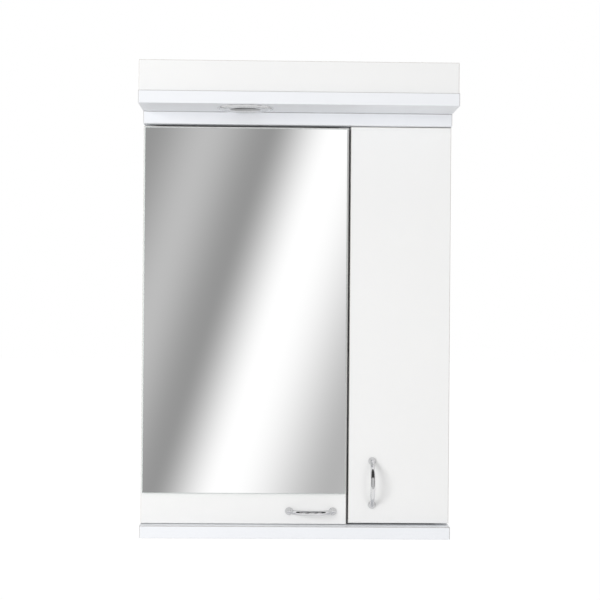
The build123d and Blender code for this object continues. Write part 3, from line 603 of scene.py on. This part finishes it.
def makeHandle(name, facts):
    shape = bmesh.new()
    where = standOn(facts["middle"], forward, facts["along"])
    stations = bowStations(bow)
    rings = []
    for number, (place, width, thick) in enumerate(stations):
        before = stations[max(number - 1, 0)][0]
        after = stations[min(number + 1, len(stations) - 1)][0]
        heading = (after - before).normalized()
        if number in (0, len(stations) - 1):
            heading = Vector((0, 1))
        ring = []
        for step in range(bow["roundSteps"]):
            angle = 2 * math.pi * step / bow["roundSteps"]
            across, off = width * math.cos(angle), thick * math.sin(angle)
            spot = Vector((place.x - heading.y * off, across, place.y + heading.x * off))
            ring.append(shape.verts.new(where @ (spot * mm)))
        rings.append(ring)
    stitch(shape, rings)
    shape.faces.new(rings[0])
    shape.faces.new(rings[-1])
    addPiece(name, shape, facts["body"], ["handleChrome"], [facts["node"]])


for name, facts in handles.items():
    makeHandle(name, facts)
print("handles made")


# Screws: a cross recess in the head, a thread down the shank; "faces" is the way that the head looks
screwSets = {
    "panelScrewsBottom": {"node": "panel_screws_bottom", "axis": 2, "faces": -1, "height": 3.5,
                          "shank": 2.4, "flush": True},
    "panelScrewsTop": {"node": "panel_screws_top", "axis": 2, "faces": 1, "height": 3.5, "shank": 2.4,
                       "flush": True},
    "railScrews": {"node": "rail_screws", "axis": 2, "faces": 1, "height": 2.0, "shank": 2.0,
                   "flush": True},
    "canopyScrews": {"node": "canopy_screws", "axis": 2, "faces": -1, "height": 2.0, "shank": 1.75,
                     "flush": True},
    "fixingScrews": {"node": "fixing_screws", "axis": 2, "faces": 1, "height": 2.0, "shank": 1.75},
    "plateScrewsLeft": {"node": "hinge_plate_screws_left", "axis": 0, "faces": 1, "height": 2.0,
                        "shank": 1.75},
    "plateScrewsRight": {"node": "hinge_plate_screws_right", "axis": 0, "faces": -1, "height": 2.0,
                         "shank": 1.75},
    "armScrewsLeft": {"node": "hinge_arm_screws_left", "axis": 0, "faces": 1, "height": 2.0,
                      "shank": 2.0},
    "armScrewsRight": {"node": "hinge_arm_screws_right", "axis": 0, "faces": -1, "height": 2.0,
                       "shank": 2.0},
    "cupScrewsLeft": {"node": "hinge_cup_screws_left", "axis": 1, "faces": 1, "height": 1.2,
                      "shank": 1.75, "body": "left_door"},
    "cupScrewsRight": {"node": "hinge_cup_screws_right", "axis": 1, "faces": 1, "height": 1.2,
                       "shank": 1.75, "body": "right_door"},
    "handleScrewsLeft": {"node": "left_handle_screws", "axis": 1, "faces": 1, "height": 2.4,
                         "shank": 2.0, "body": "left_door"},
    "handleScrewsRight": {"node": "right_handle_screws", "axis": 1, "faces": 1, "height": 2.4,
                          "shank": 2.0, "body": "right_door"},
}
screwForm = {
    "panHead": ((0.62, 0.0), (0.8, -0.1), (0.93, -0.3), (1.0, -0.6), (1.0, -1.0)),
    "flatHead": ((0.62, 0.0), (0.96, 0.0), (1.0, -0.1), (1.0, -0.2), (0.5, -1.0)),
    "headSteps": 24,
    "recessCorners": 12,
    "recessNotch": 0.379,
    "recessTip": 1.035,
    "recessReach": 0.52,
    "recessDepth": 0.75,
    "recessTaper": 0.55,
    "root": 0.74,
    "pitch": 1.1,
    "threadSteps": 12,
    "pointTurns": 1.5,
    "pointRadius": 0.04,
}


def addScrew(shape, where, head, height, shank, length, flush, skin=0):
    steps, corners = screwForm["headSteps"], screwForm["recessCorners"]
    turn = 2 * math.pi / steps
    outline = []
    for depth, taper in ((0.0, 1.0), (screwForm["recessDepth"] * height, screwForm["recessTaper"])):
        ring = []
        for number in range(corners):
            reach = screwForm["recessNotch"] if number % 3 == 1 else screwForm["recessTip"]
            radius = reach * taper * screwForm["recessReach"] * head
            ring.append(shape.verts.new(where @ polar(radius, turn * (1 + 2 * number), -depth)))
        outline.append(ring)
    rings = []
    for radius, fall in screwForm["flatHead" if flush else "panHead"]:
        rings.append([shape.verts.new(where @ polar(radius * head, turn * step, fall * height))
                      for step in range(steps)])
    for number in range(corners):
        near = [rings[0][(1 + 2 * number + step) % steps] for step in range(3)]
        face = shape.faces.new((outline[0][number], *near, outline[0][(number + 1) % corners]))
        face.material_index = skin
    middle = shape.verts.new(where @ polar(0, 0, -screwForm["recessDepth"] * height))
    stitch(shape, [outline[0], outline[1], [middle]], skin)
    stitch(shape, rings, skin)
    shape.faces.new(rings[-1]).material_index = skin
    addThread(shape, where, shank, -height, -length, skin)


def addThread(shape, where, shank, top, bottom, skin=0):
    steps = screwForm["threadSteps"]
    pitch = screwForm["pitch"] * shank
    count = int((top - bottom) / pitch * steps)
    roots, crests = [], []
    for number in range(count + 1):
        angle = 2 * math.pi * number / steps
        level = top - (top - bottom) * number / count
        slim = max(min(1.0, (count - number) / (screwForm["pointTurns"] * steps)), screwForm["pointRadius"])
        roots.append(shape.verts.new(where @ polar(screwForm["root"] * shank * slim, angle, level)))
        crestLevel = max(level - pitch / 2, bottom)
        crests.append(shape.verts.new(where @ polar(shank * slim, angle, crestLevel)))
    for number in range(count):
        face = shape.faces.new((roots[number], roots[number + 1], crests[number + 1], crests[number]))
        face.material_index = skin
        below = number + steps
        if below < count:
            face = shape.faces.new((crests[number], crests[number + 1], roots[below + 1], roots[below]))
            face.material_index = skin


for name, facts in screwSets.items():
    shape = bmesh.new()
    axis, faces = facts["axis"], facts["faces"]
    outward = Vector(faces if number == axis else 0 for number in range(3))
    for low, high in spotsOf(facts["node"], axis):
        top = (low + high) / 2
        top[axis] = high[axis] if faces > 0 else low[axis]
        across = 0 if axis else 1
        head = (high[across] - low[across]) / 2
        addScrew(shape, standOn(top, outward), head, facts["height"], facts["shank"], high[axis] - low[axis],
                 facts.get("flush", False))
    addPiece(name, shape, facts.get("body", "carcass"), ["screwSteel"], [facts["node"]])
print("screws made")


# Small turned pieces, one profile each: (radius, height)
capProfile = ((0, 0.15), (3.6, 0.12), (4.5, 0.0), (4.9, 0.1), (5.0, 0.35), (5.0, 1.0), (0, 1.0))
pivotProfile = ((0, 0), (0.7, 0.05), (1.15, 0.3), (1.25, 0.6), (1.25, 9.0), (1.15, 9.3), (0.7, 9.55),
                (0, 9.6))
turned = {
    "screwCaps": {"node": "screw_caps", "axis": 2, "slot": "white_plastic", "skin": "whitePlastic",
                  "profile": capProfile},
    "hingePinsLeft": {"node": "hinge_pins_left", "axis": 2, "slot": "hinge_steel", "skin": "hingeSteel",
                      "body": "left_door", "profile": pivotProfile},
    "hingePinsRight": {"node": "hinge_pins_right", "axis": 2, "slot": "hinge_steel", "skin": "hingeSteel",
                       "body": "right_door", "profile": pivotProfile},
}
for name, facts in turned.items():
    shape = bmesh.new()
    for low, high in spotsOf(facts["node"], facts["axis"]):
        middle = (low + high) / 2
        middle.z = low.z
        lathe(shape, facts["profile"], standOn(middle, upward))
    addPiece(name, shape, facts.get("body", "carcass"), [facts["skin"]], [facts["node"]])

# Shelf pins: barbs in the wall, a collar on it, a peg under the shelf
shelfPin = {
    "reach": 8.0,
    "steps": 24,
    "profile": ((0, -8.0), (1.6, -8.0), (2.1, -7.3), (2.45, -6.2), (2.1, -6.0), (2.1, -5.2),
                (2.45, -4.2), (2.1, -4.0), (2.1, -3.2), (2.45, -2.2), (2.1, -2.0), (2.1, 0.0),
                (3.2, 0.0), (3.4, 0.2), (3.4, 0.55), (3.15, 0.8), (2.65, 0.8), (2.5, 1.0), (2.5, 7.2),
                (2.2, 7.75), (1.6, 8.0), (0, 8.0)),
}
for side in ("left", "right"):
    shape = bmesh.new()
    for low, high in spotsOf("shelf_pins_" + side, 0):
        middle = (low + high) / 2
        for wall, inward in ((low.x + shelfPin["reach"], 1), (high.x - shelfPin["reach"], -1)):
            where = standOn((wall, middle.y, middle.z), (inward, 0, 0))
            lathe(shape, shelfPin["profile"], where, shelfPin["steps"])
    addPiece("shelfPins" + side.title(), shape, "carcass", ["whitePlastic"],
             ["shelf_pins_" + side])
print("turned pieces made")


# Spotlight: pressed ring, leaf springs and a reflector lamp with its glass, capsule and pins
spotlight = {
    "middle": (-76.0, -194.0, 0.0),
    "ring": ((22.0, 57.3), (22.15, 56.95), (22.45, 56.7), (22.9, 56.6), (30.4, 56.6), (30.9, 56.75),
             (31.3, 57.05), (31.9, 57.05), (32.3, 56.75), (32.8, 56.55), (36.8, 56.5), (38.4, 56.8),
             (39.5, 57.5), (40.0, 58.4), (40.0, 59.0), (30.0, 59.0), (30.0, 74.0), (28.5, 74.0),
             (28.5, 60.5), (22.0, 60.5)),
    "bore": ((22.0, 60.5), (22.0, 57.3)),
    "rim": ((22.6, 62.9), (24.4, 62.6), (24.4, 60.9), (24.7, 60.5), (25.0, 60.9), (25.0, 64.5),
            (24.6, 68.0), (23.2, 74.5), (20.6, 81.5), (16.8, 88.0), (12.4, 92.6), (8.5, 95.0)),
    "neck": ((8.5, 95.0), (8.5, 96.2), (7.9, 96.6), (7.9, 97.6), (8.5, 98.0), (8.5, 103.6), (8.1, 104.0),
             (0, 104.0)),
    "glass": ((0, 60.9), (10.0, 60.95), (19.0, 61.1), (24.2, 61.3), (24.2, 62.5), (19.0, 62.4),
              (10.0, 62.3), (0, 62.3)),
    "reflector": ((22.6, 62.9), (22.0, 67.0), (20.4, 72.6), (18.0, 78.0), (15.0, 83.0), (11.6, 87.2),
                  (8.0, 90.4), (5.2, 92.0)),
    "capsule": ((0, 68.6), (0.7, 68.8), (1.0, 69.6), (2.4, 70.6), (3.6, 72.4), (4.2, 75.0), (4.2, 84.0),
                (3.8, 88.0), (4.4, 90.0), (4.4, 92.6), (0, 92.6)),
    "filament": ((0, 75.0), (0.8, 75.2), (1.1, 76.0), (0.8, 76.8), (1.1, 77.6), (0.8, 78.4), (1.1, 79.2),
                 (0.8, 80.0), (1.1, 80.8), (0.8, 81.6), (0, 81.9)),
    "pin": ((0, 104.0), (0.8, 104.0), (0.8, 109.3), (0.5, 109.8), (0, 110.0)),
    "pinOffset": 2.7,
    "spring": ((30.4, 61.5), (30.4, 70.0), (30.4, 75.0), (30.7, 76.4), (31.6, 77.5), (33.0, 78.1),
               (34.6, 78.1), (38.0, 77.7), (43.0, 77.4), (46.0, 77.7), (48.0, 78.9)),
    "springHalfWidth": 5.0,
    "springThickness": 0.8,
    "ringSteps": 72,
    "pinSteps": 12,
    "lampSkins": ("lampGlass", "clearGlass", "reflectorCoat", "screwSteel", "ceramic", "frontGlass"),
    "lampParts": (("rim", 56, "lampGlass"), ("glass", 56, "frontGlass"), ("reflector", 28, "reflectorCoat"),
                  ("capsule", 24, "clearGlass"), ("filament", 12, "screwSteel"), ("neck", 32, "ceramic")),
}


def makeSpotlight(facts):
    upright = standOn(facts["middle"], upward)
    shape = bmesh.new()
    lathe(shape, facts["ring"], upright, facts["ringSteps"])
    # painted shade: the ring's bore gets a matt mid grey in place of its shaded chrome
    lathe(shape, facts["bore"], upright, facts["ringSteps"], 1)
    bmesh.ops.remove_doubles(shape, verts=shape.verts, dist=0.01 * mm)
    addPiece("spotRing", shape, "carcass", ["ringChrome", "boreGrey"], ["spotlight_ring"],
             sharpAbove=50)
    shape = bmesh.new()
    skins = facts["lampSkins"]
    for part, steps, skin in facts["lampParts"]:
        lathe(shape, facts[part], upright, steps, skins.index(skin))
    for side in (-1, 1):
        where = upright @ Matrix.Translation((side * facts["pinOffset"] * mm, 0, 0))
        lathe(shape, facts["pin"], where, facts["pinSteps"], skins.index("screwSteel"))
    addPiece("spotLamp", shape, "carcass", skins, ["reflector_lamp"],
             flatSkins=(skins.index("reflectorCoat"),))
    shape = bmesh.new()
    for turnedRound in (1, -1):
        where = standOn(facts["middle"], upward, (turnedRound, 0, 0))
        bentStrip(shape, facts["spring"], facts["springHalfWidth"], facts["springThickness"], where)
    addPiece("ringSprings", shape, "carcass", ["hingeSteel"], ["ring_clips"])


makeSpotlight(spotlight)
print("spotlight made")


# Transformer: a two-part case with lower covers over its wires, ribs on top and a lug at each end
transformer = {
    "across": (45.0, 135.0),
    "deep": (-196.0, -162.0),
    "level": 77.0,
    "baseTop": 87.6,
    "caseTop": 98.4,
    "coverTop": 94.0,
    "coverLength": 13.0,
    "lugDeep": (-175.0, -165.0),
    "lugReach": 10.0,
    "lugHeight": 3.0,
    "ribs": 7,
    "ribHeight": 0.6,
    "ribHalf": 0.8,
    "ribInset": 4.0,
    "ribSunk": 0.5,
    "ribRounding": 0.3,
    "rounding": 1.2,
    "caseRounding": 1.5,
    "lugRounding": 0.8,
    "lugInside": 1.0,
    "seamGap": 0.4,
    "seamInset": 0.5,
    "seamHalf": 1.0,
    "well": ((3.6, -0.6), (3.6, 0.5), (3.2, 0.9), (2.7, 0.9), (2.7, -1.6), (0, -1.6)),
    "screw": {"sunk": 0.2, "head": 2.5, "height": 1.2, "shank": 1.3, "length": 5.0},
    "steps": 28,
    "leadLevel": 83.0,
    "leadDepth": -183.0,
    "grip": ((2.2, 0.0), (3.9, 0.0), (3.9, 1.4), (3.3, 2.0), (3.3, 3.0), (2.9, 3.4), (2.2, 3.4)),
}


def makeTransformer(facts):
    shape = bmesh.new()
    (left, right), (front, back) = facts["across"], facts["deep"]
    level, seam, caseTop, coverTop = facts["level"], facts["baseTop"], facts["caseTop"], facts["coverTop"]
    gap, inset, rounding = facts["seamGap"], facts["seamInset"], facts["rounding"]
    block(shape, (left, front, level), (right, back, seam), rounding, segments=3)
    block(shape, (left + inset, front + inset, seam - facts["seamHalf"]),
          (right - inset, back - inset, seam + facts["seamHalf"]))
    caseLeft, caseRight = left + facts["coverLength"], right - facts["coverLength"]
    block(shape, (caseLeft, front, seam + gap), (caseRight, back, caseTop), facts["caseRounding"], segments=3)
    screw = facts["screw"]
    for start, end in ((left, caseLeft - gap), (caseRight + gap, right)):
        block(shape, (start, front, seam + gap), (end, back, coverTop), rounding, segments=3)
        across, deep = (start + end) / 2, (front + back) / 2
        lathe(shape, facts["well"], standOn((across, deep, coverTop), upward), facts["steps"])
        addScrew(shape, standOn((across, deep, coverTop - screw["sunk"]), upward), screw["head"],
                 screw["height"], screw["shank"], screw["length"], False, 1)
    ribStep = (caseRight - caseLeft) / (facts["ribs"] + 1)
    for number in range(1, facts["ribs"] + 1):
        middle = caseLeft + ribStep * number
        low = (middle - facts["ribHalf"], front + facts["ribInset"], caseTop - facts["ribSunk"])
        high = (middle + facts["ribHalf"], back - facts["ribInset"], caseTop + facts["ribHeight"])
        block(shape, low, high, facts["ribRounding"])
    lugFront, lugBack = facts["lugDeep"]
    lugTop, reach, inside = level + facts["lugHeight"], facts["lugReach"], facts["lugInside"]
    block(shape, (left - reach, lugFront, level), (left + inside, lugBack, lugTop), facts["lugRounding"])
    block(shape, (right - inside, lugFront, level), (right + reach, lugBack, lugTop), facts["lugRounding"])
    for face, way in ((left, -1), (right, 1)):
        where = standOn((face, facts["leadDepth"], facts["leadLevel"]), (way, 0, 0))
        lathe(shape, facts["grip"], where, facts["steps"], closed=True)
    addPiece("lampTransformer", shape, "carcass", ["whitePlastic", "screwSteel"],
             ["transformer"])


makeTransformer(transformer)

# Terminal block: three poles joined by a web, each with two screw wells and a wire entry at each end
terminals = {
    "across": (170.0, 188.0),
    "poles": (-91.0, -81.0, -71.0),
    "halfPole": 4.7,
    "level": 77.0,
    "shoulder": 84.0,
    "wellSpots": (174.8, 183.2),
    "well": ((3.9, 83.5), (3.9, 90.4), (3.5, 91.0), (2.8, 91.0), (2.5, 90.6), (2.5, 86.0), (0, 86.0)),
    "entry": ((2.1, -1.0), (3.3, -1.0), (3.3, 0.7), (3.0, 1.0), (2.4, 1.0), (2.1, 0.7)),
    "inset": 1.0,
    "rounding": 0.9,
    "entryHeight": 4.0,
    "screw": {"level": 87.6, "head": 2.3, "height": 1.2, "shank": 1.4, "length": 3.0},
    "web": {"inset": 3.0, "past": 4.0, "height": 3.0, "rounding": 0.5},
    "steps": 24,
}


def makeTerminals(facts):
    shape = bmesh.new()
    left, right = facts["across"]
    level, inset, half = facts["level"], facts["inset"], facts["halfPole"]
    screw, web = facts["screw"], facts["web"]
    for pole in facts["poles"]:
        block(shape, (left + inset, pole - half, level), (right - inset, pole + half, facts["shoulder"]),
              facts["rounding"], segments=3)
        for spot in facts["wellSpots"]:
            lathe(shape, facts["well"], standOn((spot, pole, 0), upward), facts["steps"])
            addScrew(shape, standOn((spot, pole, screw["level"]), upward), screw["head"], screw["height"],
                     screw["shank"], screw["length"], False, 1)
        for face, way in ((left + inset, -1), (right - inset, 1)):
            where = standOn((face, pole, level + facts["entryHeight"]), (way, 0, 0))
            lathe(shape, facts["entry"], where, facts["steps"], closed=True)
    block(shape, (left + web["inset"], facts["poles"][0] - web["past"], level),
          (right - web["inset"], facts["poles"][-1] + web["past"], level + web["height"]), web["rounding"])
    addPiece("terminalStrip", shape, "carcass", ["whitePlastic", "brass"],
             ["terminal_block"])


makeTerminals(terminals)
print("transformer and terminals made")


# Studio: white for the eye and for reflections, an even light for the rest
studio = {
    "ambient": 0.62,
    "ambientColor": (1.0, 1.0, 1.0),
    "floorLevel": -1.75,
    "floorHalf": 40.0,
    "floorLit": 0.92,
    "floorGlow": 1.05,
    "floorColor": (0.9, 0.9, 0.9),
    "floorRoughness": 0.9,
}


def addSheet(name, corners, place):
    mesh = bpy.data.meshes.new(name)
    mesh.from_pydata(corners, [], [(0, 1, 2, 3)])
    sheet = bpy.data.objects.new(name, mesh)
    sheet.location = place
    bpy.context.scene.collection.objects.link(sheet)
    return sheet


# 1 for the camera, and for what metal and glass show of the background
def seenRays(tree):
    path = addNode(tree, "ShaderNodeLightPath").outputs
    seen = maths(tree, "MAXIMUM", path["Is Camera Ray"], path["Is Glossy Ray"])
    return maths(tree, "MAXIMUM", seen, path["Is Transmission Ray"])


def makeWorld(facts):
    world = bpy.data.worlds.new("studio")
    bpy.context.scene.world = world
    world.use_nodes = True
    tree = world.node_tree
    background = tree.nodes["Background"]
    background.inputs["Color"].default_value = (*facts["ambientColor"], 1)
    strength = stretchRange(tree, seenRays(tree), facts["ambient"], 1.0)
    join(tree, strength, background.inputs["Strength"])


def makeFloor(facts):
    half = facts["floorHalf"]
    corners = ((-half, -half, 0), (half, -half, 0), (half, half, 0), (-half, half, 0))
    floor = addSheet("floor", corners, (0, 0, facts["floorLevel"]))
    material = bpy.data.materials.new("paleFloor")
    material.use_nodes = True
    tree = material.node_tree
    shader = tree.nodes["Principled BSDF"]
    shader.inputs["Base Color"].default_value = (*facts["floorColor"], 1)
    shader.inputs["Roughness"].default_value = facts["floorRoughness"]
    glow = addNode(tree, "ShaderNodeEmission", {"Strength": facts["floorGlow"]})
    mixer = addNode(tree, "ShaderNodeMixShader")
    join(tree, maths(tree, "MULTIPLY", seenRays(tree), facts["floorLit"]), mixer.inputs["Fac"])
    join(tree, shader.outputs[0], mixer.inputs[1])
    join(tree, glow.outputs[0], mixer.inputs[2])
    join(tree, mixer.outputs[0], tree.nodes["Material Output"].inputs["Surface"])
    floor.data.materials.append(material)


# Painted reflection: a glowing sheet behind the camera, seen only in reflections, with slanting grey and
# white bands painted for the mirror to show, and dark higher up and far out to the sides for the chrome to
# show
paintedReflection = {
    "bandsAcross": (-3.2, 3.2),
    "bandsUp": (-6.0, 0.6),
    "softness": 0.3,
    # painted reflection: the dark that the chrome shows outside the bands
    "dark": (0.06, 0.06, 0.06),
    "place": (0.0, -2.6, 0.0),
    "half": (9.0, 6.0),
    "start": 0.56,
    "perAcross": 1.07,
    "perUp": -0.34,
    "strength": 1.08,
    "bands": ((0.0, 0.3), (0.2, 0.5), (0.4, 0.3), (0.62, 1.0), (0.66, 1.0), (1.0, 0.45)),
}


def softBand(tree, value, limits, softness):
    rising = stretchRange(tree, value, 0.0, 1.0, limits[0] - softness, limits[0])
    falling = stretchRange(tree, value, 1.0, 0.0, limits[1], limits[1] + softness)
    return maths(tree, "MULTIPLY", rising, falling)


def makePaintedReflection(facts):
    wide, high = facts["half"]
    corners = ((-wide, 0, -high), (wide, 0, -high), (wide, 0, high), (-wide, 0, high))
    # painted reflection: this sheet glows only for reflected rays; it is neither a wall nor a lamp
    wall = addSheet("paintedReflectionSheet", corners, facts["place"])
    wall.visible_camera = False
    wall.visible_diffuse = False
    wall.visible_shadow = False
    wall.visible_transmission = False
    material = bpy.data.materials.new("paintedReflectionBands")
    material.use_nodes = True
    tree = material.node_tree
    tree.nodes.remove(tree.nodes["Principled BSDF"])
    place = addNode(tree, "ShaderNodeSeparateXYZ")
    join(tree, addNode(tree, "ShaderNodeTexCoord").outputs["Object"], place.inputs[0])
    start = maths(tree, "MULTIPLY_ADD", place.outputs["X"], facts["perAcross"], facts["start"])
    slant = maths(tree, "MULTIPLY_ADD", place.outputs["Z"], facts["perUp"], start)
    folded = maths(tree, "PINGPONG", slant, 1.0)
    ramp = addNode(tree, "ShaderNodeValToRGB")
    ramp.color_ramp.interpolation = "EASE"
    stops = ramp.color_ramp.elements
    for number, (position, grey) in enumerate(facts["bands"]):
        stop = stops[number] if number < 2 else stops.new(position)
        stop.position = position
        stop.color = (grey, grey, grey, 1)
    join(tree, folded, ramp.inputs["Fac"])
    # painted reflection: the glow carries the banded greys in the middle and the dark outside
    glow = addNode(tree, "ShaderNodeEmission", {"Strength": facts["strength"]})
    across = softBand(tree, place.outputs["X"], facts["bandsAcross"], facts["softness"])
    upright = softBand(tree, place.outputs["Z"], facts["bandsUp"], facts["softness"])
    banded = maths(tree, "MULTIPLY", across, upright)
    join(tree, blendColors(tree, banded, facts["dark"], ramp.outputs["Color"]), glow.inputs["Color"])
    join(tree, glow.outputs[0], tree.nodes["Material Output"].inputs["Surface"])
    wall.data.materials.append(material)


lamps = {
    "key": {"place": (-1.7, -2.2, 0.0), "aim": (0, -0.1, -0.2), "size": 1.1, "power": 30.5},
    "fill": {"place": (1.15, -2.4, -0.15), "aim": (0, -0.1, -0.3), "size": 0.35, "power": 4.0},
}


def makeLamp(name, facts):
    light = bpy.data.lights.new(name, "AREA")
    light.size = facts["size"]
    light.energy = facts["power"]
    holder = bpy.data.objects.new(name, light)
    holder.location = facts["place"]
    aim = Vector(facts["aim"]) - Vector(facts["place"])
    holder.rotation_mode = "QUATERNION"
    holder.rotation_quaternion = aim.to_track_quat("-Z", "Y")
    holder.visible_glossy = False
    holder.visible_camera = False
    bpy.context.scene.collection.objects.link(holder)


makeWorld(studio)
makeFloor(studio)
# painted reflection seen in the mirror and the chrome
makePaintedReflection(paintedReflection)
for name, facts in lamps.items():
    makeLamp(name, facts)
print("studio lit")
